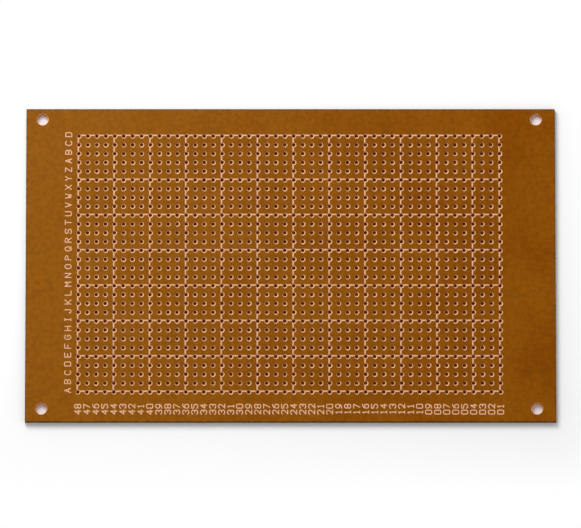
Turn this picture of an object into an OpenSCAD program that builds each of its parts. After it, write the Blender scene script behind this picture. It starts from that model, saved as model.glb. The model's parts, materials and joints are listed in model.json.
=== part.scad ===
// Perforated prototype board: a sheet of phenolic laminate punched with a field of lead holes.
// Copper pads ring the holes on the underside, and a printed grid marks off the holes on top.
// The sheet lies flat, copper side down. Z = 0 is the face of the pads, and X and Y start at
// the middle of the sheet. Rows run along X.

/* [Sheet] */
// Length of the sheet, along the rows
board_length = 150; // [148:1:220]
// Width of the sheet, across the rows
board_width = 90; // [88:1:160]
// Thickness of the laminate, without the copper
board_thickness = 1.6; // [0.8:0.1:3.2]

/* [Lead holes] */
// Holes in each row
columns = 48; // [8:1:48]
// Rows of holes
rows = 30; // [8:1:30]
// Distance from one hole to the next
pitch = 2.54; // [2.4:0.02:2.6]
// Bore of a lead hole
lead_hole_d = 1.0; // [0.8:0.05:1.2]
// Width of the flare that the punch leaves around a lead hole
lead_rim_width = 0.2; // [0.05:0.05:0.3]
// How far the hole field lies off the middle of the sheet, along the rows
field_shift_x = -0.4; // [-1.5:0.1:1.5]
// How far the hole field lies off the middle of the sheet, across the rows
field_shift_y = 0.4; // [-1:0.1:1]

/* [Mounting holes] */
// Bore of a corner hole, a clear fit on an M3 screw
mount_hole_d = 3.2; // [2.2:0.1:3.6]
// Width of the flare around a corner hole
mount_rim_width = 0.25; // [0.05:0.05:0.4]
// Distance between corner holes, along the rows
mount_spacing_x = 140; // [132:0.2:142]
// Distance between corner holes, across the rows
mount_spacing_y = 83.2; // [81:0.2:84]

/* [Punching] */
// Depth of the flare on the side where the punch breaks out
rim_depth = 0.15; // [0.05:0.05:0.4]

/* [Copper] */
// Diameter of a pad
pad_d = 2.0; // [1.6:0.1:2.2]
// Thickness of the copper foil
copper_thickness = 0.035; // [0.018:0.001:0.105]

/* [Print] */
// Holes from one printed line to the next
cell = 4; // [2:1:6]
// Width of a printed line
line_width = 0.4; // [0.2:0.05:0.6]
// Thickness of the ink
ink_thickness = 0.02; // [0.01:0.01:0.05]
// How far the print lies off the holes, along the rows
print_shift_x = -0.15; // [-0.3:0.05:0.3]
// How far the print lies off the holes, across the rows
print_shift_y = 0.2; // [-0.3:0.05:0.3]

/* [Hidden] */
$fn = 48;

// Heights of the two faces of the laminate
bottom_z = copper_thickness;
top_z = bottom_z + board_thickness;
// How far a cutting tool reaches past the face that it cuts
overcut = 1;

field_length = (columns - 1) * pitch;
field_width = (rows - 1) * pitch;
last_column = columns - 1;
last_row = rows - 1;

// Columns count from the right and rows from the bottom, as they are lettered
function hole_x(column) = field_shift_x + field_length / 2 - column * pitch;
function hole_y(row) = field_shift_y - field_width / 2 + row * pitch;

// Where a printed line stops beside a hole
line_stop = lead_hole_d / 2 + lead_rim_width;
// A line marks the first column and each whole cell of columns
line_columns = concat([0], [for (column = [cell - 1 : cell : last_column]) column]);
// A line marks the first row, each whole cell of rows and the last row
line_rows = concat([for (row = [0 : cell : last_row - cell]) row], [last_row]);

module at_hole(column, row) {
    translate([hole_x(column), hole_y(row), 0])
        children();
}

module at_corner_holes() {
    for (side_x = [-1, 1], side_y = [-1, 1])
        translate([
            field_shift_x + side_x * mount_spacing_x / 2,
            field_shift_y + side_y * mount_spacing_y / 2,
            0
        ])
            children();
}

// A punched hole: a straight bore that flares at the upper face, where the punch broke out
module punched_hole(bore_d, rim_width) {
    bore_r = bore_d / 2;
    rim_r = bore_r + rim_width;
    rotate_extrude()
        polygon([
            [0, bottom_z - overcut],
            [bore_r, bottom_z - overcut],
            [bore_r, top_z - rim_depth],
            [rim_r, top_z],
            [rim_r, top_z + overcut],
            [0, top_z + overcut]
        ]);
}

// A ring of foil around a lead hole
module pad() {
    bore_r = lead_hole_d / 2;
    rotate_extrude()
        translate([bore_r, 0])
            square([pad_d / 2 - bore_r, copper_thickness]);
}

module laminate_board() {
    color("#965A10")
        difference() {
            translate([-board_length / 2, -board_width / 2, bottom_z])
                cube([board_length, board_width, board_thickness]);
            for (column = [0 : last_column], row = [0 : last_row])
                at_hole(column, row)
                    punched_hole(lead_hole_d, lead_rim_width);
            at_corner_holes()
                punched_hole(mount_hole_d, mount_rim_width);
        }
}

function is_corner(column, row) =
    (column == 0 || column == last_column) && (row == 0 || row == last_row);

// Every pad but the four at the corners of the field
module copper_pads() {
    color("#C8743C")
        for (column = [0 : last_column], row = [0 : last_row])
            if (!is_corner(column, row))
                at_hole(column, row)
                    pad();
}

// The four outermost pads, which the board lies on
module corner_pads() {
    color("#C8743C")
        for (column = [0, last_column], row = [0, last_row])
            at_hole(column, row)
                pad();
}

// A stretch of ink between two neighbouring holes
module ink_bar(length_x, length_y) {
    translate([-length_x / 2, -length_y / 2, top_z])
        cube([length_x, length_y, ink_thickness]);
}

module printed_grid() {
    stretch = pitch - 2 * line_stop;
    color("#E6C3A0") {
        for (row = line_rows, column = [1 : last_column])
            at_hole(column, row)
                translate([pitch / 2, print_shift_y, 0])
                    ink_bar(stretch, line_width);
        for (column = line_columns, row = [1 : last_row])
            at_hole(column, row)
                translate([print_shift_x, -pitch / 2, 0])
                    ink_bar(line_width, stretch);
    }
}

laminate_board();
copper_pads();
corner_pads();
printed_grid();
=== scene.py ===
# Perforated prototype board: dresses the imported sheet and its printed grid,
# adds the solder pads, the row letters and the column numbers, and lights it all.
import bpy
import bmesh
import json
import math
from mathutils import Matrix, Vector


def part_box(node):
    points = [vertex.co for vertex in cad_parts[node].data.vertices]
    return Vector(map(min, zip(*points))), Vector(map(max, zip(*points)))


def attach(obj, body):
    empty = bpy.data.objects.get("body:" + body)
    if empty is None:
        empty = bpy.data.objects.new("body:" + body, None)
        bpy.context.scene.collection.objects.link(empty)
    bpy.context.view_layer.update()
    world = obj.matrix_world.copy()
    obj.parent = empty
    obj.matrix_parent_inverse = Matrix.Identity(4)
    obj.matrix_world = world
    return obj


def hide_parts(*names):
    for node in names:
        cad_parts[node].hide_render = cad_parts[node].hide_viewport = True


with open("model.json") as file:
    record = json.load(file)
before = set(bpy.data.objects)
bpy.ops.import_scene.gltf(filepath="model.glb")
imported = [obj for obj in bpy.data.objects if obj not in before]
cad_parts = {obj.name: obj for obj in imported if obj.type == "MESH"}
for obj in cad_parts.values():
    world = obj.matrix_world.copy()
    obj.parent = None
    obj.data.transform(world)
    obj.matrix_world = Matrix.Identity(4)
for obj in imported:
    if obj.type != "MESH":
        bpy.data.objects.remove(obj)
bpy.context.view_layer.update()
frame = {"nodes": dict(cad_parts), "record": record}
scene = bpy.context.scene
sheetLow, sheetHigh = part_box("laminate_board")
padsLow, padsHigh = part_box("copper_pads")
gridLow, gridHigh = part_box("printed_grid")
mounts = {mount["name"]: mount for mount in frame["record"]["mounts"]}
print("frame loaded:", len(frame["nodes"]), "nodes")

# the punched field, read back from the frame: the first hole is row A at the left
field = {"columns": 48, "rows": 30}
lastColumn, lastRow = field["columns"] - 1, field["rows"] - 1
rightHole = Vector(mounts["lead_hole_a01"]["pos_m"])
leadRadius = mounts["lead_hole_a01"]["dims"]["r_mm"] / 1000
padRadius = padsHigh.x - rightHole.x
firstHole = Vector((padsLow.x + padRadius, padsLow.y + padRadius, 0))
lastHole = Vector((padsHigh.x - padRadius, padsHigh.y - padRadius, 0))
pitchX = (lastHole.x - firstHole.x) / lastColumn
pitchY = (lastHole.y - firstHole.y) / lastRow
firstScrew = Vector(mounts["screw_hole_lower_left"]["pos_m"])
lastScrew = Vector(mounts["screw_hole_upper_right"]["pos_m"])
screwRadius = mounts["screw_hole_lower_left"]["dims"]["r_mm"] / 1000

# the printed grid: a line on every fourth row and column, and on the last ones.
# The top cell is a row higher, so only the last row has a line after lastFullRow.
grid = {"cell": 4, "lastFullRow": 24, "edgeBlur": 0.05}
lineWidth = gridHigh.x - gridLow.x - (lastHole.x - firstHole.x)
printSlip = (gridLow + gridHigh - firstHole - lastHole) / 2  # how far the print is off the holes
inkTop = gridHigh.z


# node helpers: a value is either a socket to link or a constant to set
def addNode(tree, kind, inputs=None, **settings):
    made = tree.nodes.new(kind)
    for name, value in settings.items():
        setattr(made, name, value)
    for name, value in (inputs or {}).items():
        if isinstance(value, bpy.types.NodeSocket):
            tree.links.new(value, made.inputs[name])
        else:
            made.inputs[name].default_value = value
    return made


def calc(tree, operation, a, b=0.0, clamp=False):
    made = addNode(tree, "ShaderNodeMath", {0: a, 1: b}, operation=operation, use_clamp=clamp)
    return made.outputs[0]


def vector(tree, operation, a, b=(0.0, 0.0, 0.0)):
    made = addNode(tree, "ShaderNodeVectorMath", {0: a, 1: b}, operation=operation)
    return made.outputs["Value" if operation in ("LENGTH", "DOT_PRODUCT") else "Vector"]


def split(tree, value):
    return addNode(tree, "ShaderNodeSeparateXYZ", {"Vector": value}).outputs


def blend(tree, factor, a, b):
    made = addNode(tree, "ShaderNodeMix", {0: factor, 6: a, 7: b}, data_type="RGBA")
    return made.outputs[2]


def ramp(tree, value, fromLow, fromHigh, toLow=0.0, toHigh=1.0):
    inputs = {"Value": value, "From Min": fromLow, "From Max": fromHigh, "To Min": toLow, "To Max": toHigh}
    made = addNode(tree, "ShaderNodeMapRange", inputs, interpolation_type="SMOOTHSTEP")
    return made.outputs["Result"]


def newGroup(name, inputs, outputs):
    group = bpy.data.node_groups.new(name, "ShaderNodeTree")
    for socket, kind in inputs:
        group.interface.new_socket(socket, in_out="INPUT", socket_type=kind)
    for socket, kind in outputs:
        group.interface.new_socket(socket, in_out="OUTPUT", socket_type=kind)
    return group, group.nodes.new("NodeGroupInput").outputs, group.nodes.new("NodeGroupOutput").inputs


def useGroup(tree, group, inputs):
    return addNode(tree, "ShaderNodeGroup", inputs, node_tree=group).outputs


# where a point lies from the nearest hole of a regular pattern, that hole's place in the pattern,
# and a random number that each hole keeps
def makeNearestHole():
    group, given, out = newGroup(
        "nearestHole",
        [("Place", "NodeSocketVector"), ("First", "NodeSocketVector"),
         ("Step", "NodeSocketVector"), ("Last", "NodeSocketVector")],
        [("Distance", "NodeSocketFloat"), ("Offset", "NodeSocketVector"),
         ("Index", "NodeSocketVector"), ("Pick", "NodeSocketFloat")])
    fromFirst = vector(group, "SUBTRACT", given["Place"], given["First"])
    steps = vector(group, "DIVIDE", fromFirst, given["Step"])
    whole = vector(group, "FLOOR", vector(group, "ADD", steps, (0.5, 0.5, 0.5)))
    index = vector(group, "MINIMUM", vector(group, "MAXIMUM", whole), given["Last"])
    centre = vector(group, "MULTIPLY", index, given["Step"])
    flat = vector(group, "MULTIPLY", vector(group, "SUBTRACT", fromFirst, centre), (1, 1, 0))
    pick = addNode(group, "ShaderNodeTexWhiteNoise", {"Vector": index}, noise_dimensions="3D")
    for made, socket in ((vector(group, "LENGTH", flat), "Distance"), (flat, "Offset"),
                         (index, "Index"), (pick.outputs["Value"], "Pick")):
        group.links.new(made, out[socket])
    return group


# cloudy variation around zero, from patches of one size and specks of another
def makeMottle():
    group, given, out = newGroup(
        "mottle",
        [("Place", "NodeSocketVector"), ("Patches", "NodeSocketFloat"), ("Specks", "NodeSocketFloat")],
        [("Patch", "NodeSocketFloat"), ("Speck", "NodeSocketFloat")])
    for scale, detail, socket in (("Patches", 3.0, "Patch"), ("Specks", 4.0, "Speck")):
        cloud = addNode(group, "ShaderNodeTexNoise",
                        {"Vector": given["Place"], "Scale": given[scale], "Detail": detail})
        group.links.new(ramp(group, cloud.outputs[0], 0.3, 0.7, -1.0, 1.0), out[socket])
    return group


nearestHole = makeNearestHole()
mottle = makeMottle()
leadField = {"First": firstHole, "Step": (pitchX, pitchY, 1), "Last": (lastColumn, lastRow, 0)}
screwField = {"First": firstScrew, "Last": (1, 1, 0),
              "Step": (lastScrew.x - firstScrew.x, lastScrew.y - firstScrew.y, 1)}


def newMaterial(name):
    made = bpy.data.materials.new(name)
    made.use_nodes = True
    tree = made.node_tree
    place = addNode(tree, "ShaderNodeTexCoord").outputs["Object"]
    return made, tree, tree.nodes["Principled BSDF"].inputs, place


def addClouds(tree, place, finish):
    return useGroup(tree, mottle, {"Place": place, "Patches": finish["patches"], "Specks": finish["specks"]})


def addBump(tree, height, finish):
    inputs = {"Height": height, "Strength": finish["bump"], "Distance": finish["bumpDepth"]}
    return addNode(tree, "ShaderNodeBump", inputs).outputs[0]


# noise drawn out along some axes
def drawnNoise(tree, place, scale, detail):
    drawn = addNode(tree, "ShaderNodeMapping", {"Vector": place, "Scale": scale}).outputs[0]
    return addNode(tree, "ShaderNodeTexNoise", {"Vector": drawn, "Scale": 1.0, "Detail": detail}).outputs[0]


# grows towards a hole, from the first to the second distance, both in radii of the hole
def towardsHole(tree, distance, radius, fade, most=1.0):
    return ramp(tree, distance, radius * fade[0], radius * fade[1], 0.0, most)


# 1 over a rectangle seen from above, 0 outside it
def withinBox(tree, place, low, high):
    middle, reach = (low + high) / 2, (high - low) / 2
    fromMiddle = vector(tree, "ABSOLUTE", vector(tree, "SUBTRACT", place, middle))
    past = split(tree, vector(tree, "SUBTRACT", fromMiddle, reach))
    return calc(tree, "LESS_THAN", calc(tree, "MAXIMUM", past["X"], past["Y"]), 0.0)


# amber paper laminate: cloudy resin, pale crushed rims round the punched holes with painted light on the side
# that faces the lamp, layered cut edges painted dark as shade, painted shade along the cut outline
phenolic = {
    "amber": (0.240, 0.072, 0.0012, 1), "deepAmber": (0.212, 0.057, 0.0004, 1),
    "paleAmber": (0.262, 0.090, 0.0048, 1), "yellowing": 0.75,
    "patches": 45.0, "specks": 900.0,
    "fibres": (700, 5200, 5200), "fibreDetail": 3.0, "fibreWeight": 2.0,
    "speckleFrom": (-0.5, 2.5), "speckle": (0.88, 1.10),
    "crushedAndLit": (0.80, 0.45, 0.215, 1), "rimWidth": 0.00025, "screwRimWidth": 0.00010, "rimFade": 0.7,
    # the shift of the pale ring and the lean below paint a highlight on the side of each rim that faces the
    # lamp
    "litRimShift": (0.00008, -0.00007, 0), "ragged": 0.00006, "weakestRim": 0.68, "screwRim": 0.9,
    "litSide": (0.83, -0.55, 0), "shadeToLit": (-0.7, 0.5), "shadedSideLeft": 0.9, "shadedSideRight": 0.4,
    "print": (0.72, 0.40, 0.235, 1), "printFade": (2.0, 1.7),
    # painted shade along the cut outline, then a darker ring round each lead hole
    "outline": 0.00035, "outlineShade": 0.7, "holeRingDark": 0.14, "holeRingFade": (2.4, 1.5),
    "wall": (0.36, 0.075, 0.008, 1), "leadWall": (1.6, 1.2), "screwWall": (1.4, 1.1),
    # the cut-edge colours are darkened to paint the shade on the upright edges
    "edgeDark": (0.040, 0.016, 0.004, 1), "edgePale": (0.105, 0.045, 0.010, 1),
    "layers": (160, 160, 6500), "layerDetail": 4.0, "layerFrom": (0.35, 0.68),
    "facesUp": (0.1, 0.5), "facesAside": (0.5, 0.3),
    "roughness": (0.29, 0.40), "dulling": 0.6, "bump": 0.22, "bumpDepth": 0.00003, "sheen": 0.03}


# where the printed lines cross the flared rims of the holes, which the flat printing leaves out
def printedLine(tree, place, index, offset):
    hole = split(tree, index)
    across = split(tree, vector(tree, "ABSOLUTE", vector(tree, "SUBTRACT", offset, printSlip)))
    bands = []
    for axis, last, lastFull in (("X", lastColumn, lastColumn), ("Y", lastRow, grid["lastFullRow"])):
        everyCell = calc(tree, "LESS_THAN", calc(tree, "MODULO", hole[axis], grid["cell"]), 0.5)
        within = calc(tree, "LESS_THAN", hole[axis], lastFull + 0.5)
        outermost = calc(tree, "GREATER_THAN", hole[axis], last - 0.5)
        lined = calc(tree, "MAXIMUM", calc(tree, "MULTIPLY", everyCell, within), outermost)
        band = ramp(tree, across[axis], lineWidth * (0.5 + grid["edgeBlur"]),
                    lineWidth * (0.5 - grid["edgeBlur"]))
        bands.append(calc(tree, "MULTIPLY", lined, band))
    # nothing is printed past the outer lines
    inside = withinBox(tree, place, gridLow, gridHigh)
    return calc(tree, "MULTIPLY", calc(tree, "MAXIMUM", *bands), inside)


# 1 on the rim of a hole, fading out over the last part of its width
def paleRim(tree, distance, radius, width):
    return ramp(tree, distance, radius + width, radius + width * phenolic["rimFade"])


def makePhenolic():
    made, tree, shader, place = newMaterial("phenolicLaminate")
    cloud = addClouds(tree, place, phenolic)
    lead = useGroup(tree, nearestHole, {"Place": place, **leadField})
    screw = useGroup(tree, nearestHole, {"Place": place, **screwField})
    fibre = drawnNoise(tree, place, phenolic["fibres"], phenolic["fibreDetail"])
    layers = drawnNoise(tree, place, phenolic["layers"], phenolic["layerDetail"])
    ragged = calc(tree, "MULTIPLY", cloud["Speck"], phenolic["ragged"])
    along = split(tree, place)["X"]
    face = split(tree, addNode(tree, "ShaderNodeNewGeometry").outputs["True Normal"])["Z"]
    topSide = ramp(tree, face, *phenolic["facesUp"])
    standing = ramp(tree, calc(tree, "ABSOLUTE", face), *phenolic["facesAside"])

    # cloudy resin with fibres in it, yellower towards the left end
    resin = blend(tree, ramp(tree, cloud["Patch"], -1, 1), phenolic["deepAmber"], phenolic["amber"])
    yellowing = ramp(tree, along, sheetHigh.x, sheetLow.x, 0.0, phenolic["yellowing"])
    resin = blend(tree, yellowing, resin, phenolic["paleAmber"])
    grain = calc(tree, "ADD", cloud["Speck"], calc(tree, "MULTIPLY", fibre, phenolic["fibreWeight"]))
    speckle = ramp(tree, grain, *phenolic["speckleFrom"], *phenolic["speckle"])
    resin = addNode(tree, "ShaderNodeVectorMath", {0: resin, "Scale": speckle}, operation="SCALE").outputs[0]

    # crushed fibres whiten the rim of each hole, more on some than on others; the pale ring is shifted
    # towards the lower right, a painted highlight on the side the lamp lights
    litRimFirst = firstHole + Vector(phenolic["litRimShift"])
    litRimCentre = useGroup(tree, nearestHole, {"Place": place, **leadField, "First": litRimFirst})
    leadEdge = calc(tree, "ADD", litRimCentre["Distance"], ragged)
    screwEdge = calc(tree, "ADD", screw["Distance"], ragged)
    leadRim = paleRim(tree, leadEdge, leadRadius, phenolic["rimWidth"])
    screwRim = paleRim(tree, screwEdge, screwRadius, phenolic["screwRimWidth"])
    strength = ramp(tree, lead["Pick"], 0, 1, phenolic["weakestRim"], 1.0)
    # painted light and shade: each rim is paler on the side that faces the lamp and darker on the far side,
    # most unevenly towards the right end
    facingLamp = vector(tree, "DOT_PRODUCT", vector(tree, "NORMALIZE", litRimCentre["Offset"]), phenolic["litSide"])
    shadedSideLevel = ramp(tree, along, firstHole.x, lastHole.x, phenolic["shadedSideLeft"], phenolic["shadedSideRight"])
    paintedRimLight = ramp(tree, facingLamp, *phenolic["shadeToLit"], shadedSideLevel, 1.0)
    leadRim = calc(tree, "MULTIPLY", leadRim, calc(tree, "MULTIPLY", strength, paintedRimLight))
    screwRim = calc(tree, "MULTIPLY", screwRim, phenolic["screwRim"])
    crushedAndLit = calc(tree, "MULTIPLY", calc(tree, "MAXIMUM", leadRim, screwRim), topSide)

    # painted shade darkens the cut outline, where the rounded edge turns from the light; the resin round the
    # lead holes is darker too
    inward = split(tree, vector(tree, "SUBTRACT", sheetHigh, vector(tree, "ABSOLUTE", place)))
    border = calc(tree, "ADD", calc(tree, "MINIMUM", inward["X"], inward["Y"]), ragged)
    outline = ramp(tree, border, phenolic["outline"], 0.0, 0.0, phenolic["outlineShade"])
    darkRoundHoles = towardsHole(tree, leadEdge, leadRadius, phenolic["holeRingFade"], phenolic["holeRingDark"])
    skin = blend(tree, outline, resin, phenolic["edgeDark"])
    skin = blend(tree, darkRoundHoles, skin, phenolic["edgeDark"])
    skin = blend(tree, crushedAndLit, skin, phenolic["crushedAndLit"])
    onLine = calc(tree, "MULTIPLY", printedLine(tree, place, lead["Index"], lead["Offset"]), topSide)
    onRim = towardsHole(tree, lead["Distance"], leadRadius, phenolic["printFade"])
    skin = blend(tree, calc(tree, "MULTIPLY", onLine, onRim), skin, phenolic["print"])

    # upright faces: reddish punched walls in the holes, and paper layers along the cut edges, whose colours
    # are darkened to paint the shade on those faces
    edge = blend(tree, ramp(tree, layers, *phenolic["layerFrom"]), phenolic["edgeDark"], phenolic["edgePale"])
    nearLead = towardsHole(tree, lead["Distance"], leadRadius, phenolic["leadWall"])
    nearScrew = towardsHole(tree, screw["Distance"], screwRadius, phenolic["screwWall"])
    upright = blend(tree, calc(tree, "MAXIMUM", nearLead, nearScrew), edge, phenolic["wall"])
    tree.links.new(blend(tree, standing, skin, upright), shader["Base Color"])

    dulled = calc(tree, "MAXIMUM", crushedAndLit, standing)
    satin = ramp(tree, cloud["Patch"], -1, 1, *phenolic["roughness"])
    rough = calc(tree, "ADD", satin, calc(tree, "MULTIPLY", dulled, phenolic["dulling"]))
    tree.links.new(rough, shader["Roughness"])
    torn = calc(tree, "MULTIPLY", dulled, calc(tree, "ADD", layers, cloud["Speck"]))
    tree.links.new(addBump(tree, calc(tree, "ADD", fibre, torn), phenolic), shader["Normal"])
    shader["Specular IOR Level"].default_value = phenolic["sheen"]
    return made


# bare copper under thin lacquer, each pad tarnished a little differently
copper = {
    "bright": (0.80, 0.37, 0.20, 1), "tarnished": (0.44, 0.17, 0.08, 1), "stain": (0.20, 0.08, 0.05, 1),
    "patches": 160.0, "specks": 2600.0, "padAge": (0.05, 0.45), "patchAge": 0.22,
    "stainFade": (1.25, 1.02), "stained": 0.7, "ragged": 0.00005,
    "roughness": (0.24, 0.42), "bump": 0.15, "bumpDepth": 0.00001,
    "lacquer": 0.25, "lacquerRoughness": 0.2}


def makeCopper():
    made, tree, shader, place = newMaterial("lacqueredCopper")
    cloud = addClouds(tree, place, copper)
    lead = useGroup(tree, nearestHole, {"Place": place, **leadField})
    padAge = ramp(tree, lead["Pick"], 0, 1, *copper["padAge"])
    age = calc(tree, "ADD", padAge, calc(tree, "MULTIPLY", cloud["Patch"], copper["patchAge"]), True)
    metal = blend(tree, age, copper["bright"], copper["tarnished"])
    # the foil is stained beside the hole
    leadEdge = calc(tree, "ADD", lead["Distance"], calc(tree, "MULTIPLY", cloud["Speck"], copper["ragged"]))
    stain = towardsHole(tree, leadEdge, leadRadius, copper["stainFade"], copper["stained"])
    tree.links.new(blend(tree, stain, metal, copper["stain"]), shader["Base Color"])
    tree.links.new(ramp(tree, cloud["Speck"], -1, 1, *copper["roughness"]), shader["Roughness"])
    tree.links.new(addBump(tree, cloud["Speck"], copper), shader["Normal"])
    shader["Metallic"].default_value = 1.0
    shader["Coat Weight"].default_value = copper["lacquer"]
    shader["Coat Roughness"].default_value = copper["lacquerRoughness"]
    return made


# screen ink: thin cream coat, the amber shows where it is worn
ink = {
    "cream": (0.74, 0.41, 0.24, 1), "thin": (0.55, 0.26, 0.11, 1),
    "patches": 120.0, "specks": 2200.0, "wearFrom": (-0.4, 2.0), "wear": (0.0, 0.7),
    "rimFade": (2.2, 1.4), "rimWear": 0.25,
    "roughness": (0.5, 0.7), "bump": 0.3, "bumpDepth": 0.00001, "sheen": 0.3}


def makeInk():
    made, tree, shader, place = newMaterial("screenInk")
    cloud = addClouds(tree, place, ink)
    lead = useGroup(tree, nearestHole, {"Place": place, **leadField})
    nearRim = towardsHole(tree, lead["Distance"], leadRadius, ink["rimFade"], ink["rimWear"])
    patchy = ramp(tree, calc(tree, "ADD", cloud["Patch"], cloud["Speck"]), *ink["wearFrom"], *ink["wear"])
    worn = calc(tree, "ADD", nearRim, patchy, True)
    tree.links.new(blend(tree, worn, ink["cream"], ink["thin"]), shader["Base Color"])
    tree.links.new(ramp(tree, cloud["Speck"], -1, 1, *ink["roughness"]), shader["Roughness"])
    tree.links.new(addBump(tree, cloud["Speck"], ink), shader["Normal"])
    shader["Specular IOR Level"].default_value = ink["sheen"]
    return made


phenolicMaterial, copperMaterial, inkMaterial = makePhenolic(), makeCopper(), makeInk()
for node, material in (("laminate_board", phenolicMaterial), ("printed_grid", inkMaterial)):
    slots = frame["nodes"][node].data.materials
    slots.clear()
    slots.append(material)
print("sheet and printed grid dressed")

smoothAngle = math.radians(35)


def deselectAll():
    if bpy.context.object and bpy.context.object.mode != "OBJECT":
        bpy.ops.object.mode_set(mode="OBJECT")
    bpy.ops.object.select_all(action="DESELECT")


def finishPiece(piece, name, material):
    piece.name = piece.data.name = name
    piece.data.materials.clear()
    piece.data.materials.append(material)
    bpy.ops.object.shade_smooth_by_angle(angle=smoothAngle)
    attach(piece, "root")
    return piece


# one ring is modelled at the first hole and repeated along the rows and up the columns
solderPad = {"sides": 16, "etchedSlope": 0.00003}


def makeSolderPads():
    deselectAll()
    centre = (firstHole.x, firstHole.y, padsHigh.z)
    bpy.ops.mesh.primitive_circle_add(vertices=solderPad["sides"], radius=leadRadius, location=centre)
    bpy.ops.object.transform_apply()
    pads = bpy.context.object
    bpy.ops.object.mode_set(mode="EDIT")
    bpy.ops.mesh.select_all(action="SELECT")
    bpy.ops.mesh.extrude_region_move()
    widen = padRadius / leadRadius
    bpy.ops.transform.resize(value=(widen, widen, 1), center_override=centre)
    bpy.ops.mesh.select_all(action="SELECT")
    bpy.ops.mesh.extrude_region_move(TRANSFORM_OT_translate={"value": (0, 0, padsLow.z - padsHigh.z)})
    # etching undercuts the rim, so the bare face is a little smaller than the foot
    shape = bmesh.from_edit_mesh(pads.data)
    midHeight = (padsLow.z + padsHigh.z) / 2
    midRing = (leadRadius + padRadius) / 2
    for vertex in shape.verts:
        outward = (vertex.co.xy - firstHole.xy).length
        vertex.select = vertex.co.z < midHeight and outward > midRing
    shape.select_flush_mode()
    narrow = (padRadius - solderPad["etchedSlope"]) / padRadius
    bpy.ops.transform.resize(value=(narrow, narrow, 1), center_override=centre)
    bpy.ops.mesh.select_all(action="SELECT")
    bpy.ops.mesh.normals_make_consistent(inside=False)
    bpy.ops.object.mode_set(mode="OBJECT")
    for count, offset in ((field["columns"], (pitchX, 0, 0)), (field["rows"], (0, pitchY, 0))):
        bpy.ops.object.modifier_add(type="ARRAY")
        array = pads.modifiers[-1]
        array.use_relative_offset, array.use_constant_offset = False, True
        array.count, array.constant_offset_displace = count, offset
        bpy.ops.object.modifier_apply(modifier=array.name)
    return finishPiece(pads, "solder_pads", copperMaterial)


solderPads = makeSolderPads()
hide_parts("copper_pads", "corner_pads")
print("solder pads:", len(solderPads.data.polygons), "faces")

# single-stroke letters on a grid 4 wide and 6 high: each pair of figures is a point.
# A stroke runs straight from point to point; ~ rounds it off between its points, o closes it as well.
strokeFont = {
    "A": "00 26 40, 12 32", "B": "00 06, ~06 46 43 03, ~03 43 40 00", "C": "~45 46 06 00 40 41",
    "D": "00 06, ~06 26 46 40 20 00", "E": "46 06 00 40, 03 33", "F": "46 06 00, 03 33",
    "G": "~45 46 06 00 40 43, 43 23", "H": "00 06, 40 46, 03 43", "I": "20 26, 10 30, 16 36",
    "J": "~36 33 30 00 02", "K": "00 06, 46 02, 13 40", "L": "06 00 40", "M": "00 06 23 46 40",
    "N": "00 06 40 46", "O": "o00 40 46 06", "P": "00 06, ~06 46 43 03", "Q": "o00 40 46 06, 22 40",
    "R": "00 06, ~06 46 43 03, 23 40", "S": "~45 46 06 03 43 40 00 01", "T": "06 46, 20 26",
    "U": "~06 03 00 40 43 46", "V": "06 20 46", "W": "06 10 23 30 46", "X": "00 46, 06 40",
    "Y": "06 23 46, 23 20", "Z": "06 46 00 40",
    "0": "o00 20 40 43 46 26 06 03", "1": "15 26 20, 10 30", "2": "~05 06 46 43 00, 00 40",
    "3": "~05 06 46 43 23, ~23 43 40 00 01", "4": "30 36 02 42", "5": "46 06 04, ~04 44 40 00 01",
    "6": "~46 06 02, o00 40 44 04", "7": "06 46 10", "8": "o03 43 46 06, o00 40 43 03",
    "9": "o02 42 46 06, ~44 40 00"}
fontWide, fontHigh = 4, 6
alphabet = "ABCDEFGHIJKLMNOPQRSTUVWXYZ"
roundEnd = (30, 60, 85)  # degrees round the end of a stroke
roundSides = 2  # bevel steps across a stroke


def roundedPath(corners, closed, steps=5):
    # a curve that touches the middle of each leg between the corners
    if closed:
        corners = [corners[-1]] + corners + [corners[0]]
    joints = [(a + b) / 2 for a, b in zip(corners, corners[1:])]
    if not closed:
        joints[0], joints[-1] = corners[0], corners[-1]
    path = []
    for start, corner, end in zip(joints, corners[1:], joints[1:]):
        for step in range(steps):
            t = step / steps
            path.append(start * (1 - t) ** 2 + corner * 2 * t * (1 - t) + end * t ** 2)
    return path if closed else path + [joints[-1]]


def glyphPaths(character):
    paths = []
    for stroke in strokeFont[character].split(", "):
        style = stroke[0] if stroke[0] in "~o" else ""
        corners = [Vector((int(pair[0]), int(pair[1]))) for pair in stroke.lstrip("~o").split()]
        if style:
            paths.append((roundedPath(corners, style == "o"), style == "o"))
        else:
            paths += [([a, b], False) for a, b in zip(corners, corners[1:])]
    return paths


def addStroke(curve, path, closed, halfStroke):
    # open strokes get round ends: points past the end that shrink to nothing
    points = [(point, 1.0) for point in path]
    if not closed:
        tail, head = (path[0] - path[1]).normalized(), (path[-1] - path[-2]).normalized()
        for angle in roundEnd:
            reach, radius = halfStroke * math.sin(math.radians(angle)), math.cos(math.radians(angle))
            points.insert(0, (path[0] + tail * reach, radius))
            points.append((path[-1] + head * reach, radius))
    spline = curve.splines.new("POLY")
    spline.points.add(len(points) - 1)
    spline.use_cyclic_u = closed
    for target, (point, radius) in zip(spline.points, points):
        target.co, target.radius = (point.x, point.y, 0, 1), radius


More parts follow.
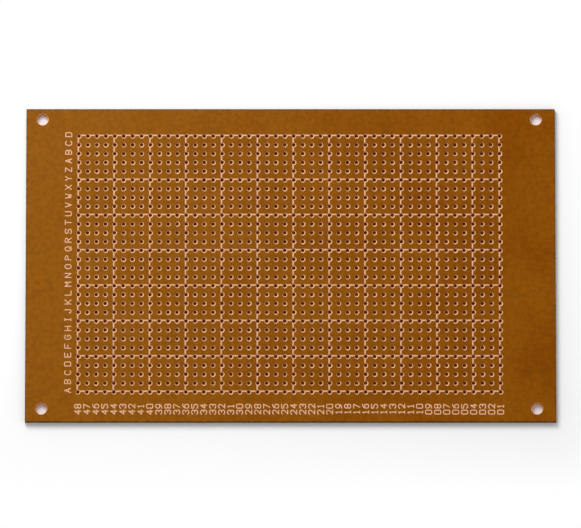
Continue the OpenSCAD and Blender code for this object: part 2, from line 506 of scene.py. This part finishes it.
# words is a list of (text, middle of the text); they read upwards, as the printing does
def makePrinting(name, words, style):
    deselectAll()
    bpy.ops.curve.primitive_bezier_curve_add(location=(0, 0, 0))
    printing = bpy.context.object
    curve = printing.data
    curve.splines.clear()
    halfStroke = style["stroke"] / 2
    unitHigh = (style["capHeight"] - style["stroke"]) / fontHigh
    unitWide = (style["width"] - style["stroke"]) / fontWide
    for text, middle in words:
        start = -(len(text) - 1) * style["advance"] / 2 - unitWide * fontWide / 2
        for place, character in enumerate(text):
            for path, closed in glyphPaths(character):
                along = [start + place * style["advance"] + point.x * unitWide for point in path]
                above = [(point.y - fontHigh / 2) * unitHigh for point in path]
                turned = [Vector((middle.x - up, middle.y + run)) for run, up in zip(along, above)]
                addStroke(curve, turned, closed, halfStroke)
    curve.dimensions, curve.fill_mode, curve.twist_mode = "3D", "FULL", "Z_UP"
    curve.bevel_depth, curve.bevel_resolution, curve.use_fill_caps = halfStroke, roundSides, True
    bpy.ops.object.convert(target="MESH")
    # press the round strokes down to the thickness of the ink and lay them on the sheet
    flatten = (inkTop - sheetHigh.z) / style["stroke"]
    bpy.ops.object.mode_set(mode="EDIT")
    bpy.ops.mesh.select_all(action="SELECT")
    bpy.ops.transform.resize(value=(1, 1, flatten), center_override=(0, 0, 0))
    bpy.ops.transform.translate(value=(0, 0, (inkTop + sheetHigh.z) / 2))
    bpy.ops.mesh.normals_make_consistent(inside=False)
    bpy.ops.object.mode_set(mode="OBJECT")
    return finishPiece(printing, name, inkMaterial)


# one letter beside each row, from A at the bottom; after Z it starts again
rowLetters = {"capHeight": 0.0020, "width": 0.00145, "advance": 0.0, "stroke": 0.00027,
              "besideField": 0.0029, "aboveHole": 0.0004}
letters = []
for row in range(field["rows"]):
    beside = Vector((firstHole.x - rowLetters["besideField"],
                     firstHole.y + row * pitchY + rowLetters["aboveHole"]))
    letters.append((alphabet[row % len(alphabet)], beside))

# two figures under each column, 01 at the right
columnNumbers = {"capHeight": 0.0020, "width": 0.0014, "advance": 0.0017, "stroke": 0.00029,
                 "belowField": 0.00495}
numbers = []
for column in range(field["columns"]):
    under = Vector((firstHole.x + column * pitchX, firstHole.y - columnNumbers["belowField"]))
    numbers.append(("%02d" % (field["columns"] - column), under))

lettersPiece = makePrinting("row_letters", letters, rowLetters)
numbersPiece = makePrinting("column_numbers", numbers, columnNumbers)
print("printing:", len(lettersPiece.data.polygons) + len(numbersPiece.data.polygons), "faces")

# pale floor: it takes the shadow near the sheet and runs out to plain white further off
floor = {
    # the colour under the holes is painted light and shade seen through the lead holes
    "halfSize": 4.0, "colour": (0.93, 0.93, 0.93, 1), "paintedUnderHoles": (0.50, 0.15, 0.03, 1),
    "white": (1, 1, 1, 1), "whiteStrength": 1.0, "shadowReach": 0.003, "whiteFrom": 0.022,
    "edgeSlack": 0.000001, "roughness": 0.9, "sheen": 0.1}


def makeFloor():
    deselectAll()
    bpy.ops.mesh.primitive_plane_add(size=floor["halfSize"] * 2, location=(0, 0, 0))
    ground = bpy.context.object
    ground.name = "studio_floor"
    made, tree, shader, place = newMaterial("paleFloor")
    ray = addNode(tree, "ShaderNodeLightPath").outputs
    # painted light and shade: the floor under the hole field is a darker brown, standing in for the light
    # that comes back up through the lead holes browned by the resin
    halfPitch = Vector((pitchX, pitchY, 0)) / 2
    underField = withinBox(tree, place, firstHole - halfPitch, lastHole + halfPitch)
    tree.links.new(blend(tree, underField, floor["colour"], floor["paintedUnderHoles"]), shader["Base Color"])
    shader["Roughness"].default_value = floor["roughness"]
    shader["Specular IOR Level"].default_value = floor["sheen"]
    # how far a point of the floor lies outside the sheet's outline
    past = vector(tree, "SUBTRACT", vector(tree, "ABSOLUTE", place), (sheetHigh.x, sheetHigh.y, 0))
    beyond = vector(tree, "LENGTH", vector(tree, "MAXIMUM", past))
    away = ramp(tree, beyond, floor["shadowReach"], floor["whiteFrom"])
    seen = calc(tree, "MAXIMUM", ray["Is Camera Ray"], ray["Is Glossy Ray"])
    seen = calc(tree, "MAXIMUM", seen, ray["Is Transmission Ray"])
    plainWhite = {"Color": floor["white"], "Strength": floor["whiteStrength"]}
    white = addNode(tree, "ShaderNodeEmission", plainWhite).outputs[0]
    shaded = tree.nodes["Principled BSDF"].outputs[0]
    whitened = calc(tree, "MULTIPLY", away, seen)
    lit = addNode(tree, "ShaderNodeMixShader", {0: whitened, 1: shaded, 2: white}).outputs[0]
    # seen from below the floor isn't there, and under the sheet it lets light up to the copper side
    covered = calc(tree, "LESS_THAN", beyond, floor["edgeSlack"])
    unseen = calc(tree, "MULTIPLY", covered, calc(tree, "SUBTRACT", 1.0, ray["Is Camera Ray"]))
    # but the walls of the lead holes mirror no light from below
    lead = useGroup(tree, nearestHole, {"Place": place, **leadField})
    inHole = calc(tree, "LESS_THAN", lead["Distance"], leadRadius)
    unseen = calc(tree, "SUBTRACT", unseen, calc(tree, "MULTIPLY", inHole, ray["Is Glossy Ray"]), True)
    under = calc(tree, "MAXIMUM", addNode(tree, "ShaderNodeNewGeometry").outputs["Backfacing"], unseen)
    clear = addNode(tree, "ShaderNodeBsdfTransparent").outputs[0]
    both = addNode(tree, "ShaderNodeMixShader", {0: under, 1: lit, 2: clear}).outputs[0]
    tree.links.new(both, tree.nodes["Material Output"].inputs["Surface"])
    ground.data.materials.append(made)


makeFloor()

# light: a bright horizon that dims overhead, and one broad lamp at the upper left
lighting = {"horizon": 1.0, "overhead": 0.52, "dimsFrom": 0.06, "dimsTo": 0.55, "colour": (1, 1, 1, 1),
            "lampPlace": (-0.17, 0.36, 0.45), "lampSize": 0.38, "lampPower": 2.75}


def makeLight():
    world = bpy.data.worlds.new("studioWorld")
    scene.world = world
    world.use_nodes = True
    tree = world.node_tree
    sky = tree.nodes["Background"].inputs
    height = split(tree, addNode(tree, "ShaderNodeTexCoord").outputs["Generated"])["Z"]
    level = ramp(tree, height, lighting["dimsFrom"], lighting["dimsTo"],
                 lighting["horizon"], lighting["overhead"])
    tree.links.new(level, sky["Strength"])
    sky["Color"].default_value = lighting["colour"]
    bpy.ops.object.light_add(type="AREA", location=lighting["lampPlace"])
    lamp = bpy.context.object
    lamp.name = "key_lamp"
    lamp.data.shape, lamp.data.size, lamp.data.energy = "DISK", lighting["lampSize"], lighting["lampPower"]
    lamp.rotation_euler = (-Vector(lighting["lampPlace"])).to_track_quat("-Z", "Y").to_euler()
    lamp.visible_camera = False


makeLight()

# camera: high over the sheet, leaning a little towards the front edge, through a long lens
view = {"pixelsWide": 581, "pixelsHigh": 528, "sheetPixels": 529.8, "middleX": 290.6, "middleY": 265.0,
        "elevation": 79.6, "distance": 2.5, "sensorWidth": 36, "farthest": 10}


def makeCamera():
    bpy.ops.object.camera_add()
    camera = bpy.context.object
    metresPerPixel = (sheetHigh.x - sheetLow.x) / view["sheetPixels"]
    lean = math.radians(view["elevation"])
    aim = Vector(((view["pixelsWide"] / 2 - view["middleX"]) * metresPerPixel,
                  (view["middleY"] - view["pixelsHigh"] / 2) * metresPerPixel / math.sin(lean),
                  sheetHigh.z))
    camera.location = aim + view["distance"] * Vector((0, -math.cos(lean), math.sin(lean)))
    camera.rotation_euler = (math.pi / 2 - lean, 0, 0)
    camera.data.sensor_width = view["sensorWidth"]
    camera.data.lens = view["sensorWidth"] * view["distance"] / (view["pixelsWide"] * metresPerPixel)
    camera.data.clip_end = view["farthest"]
    scene.camera = camera


makeCamera()
scene.view_settings.view_transform = "Standard"
print("floor, light and camera set")
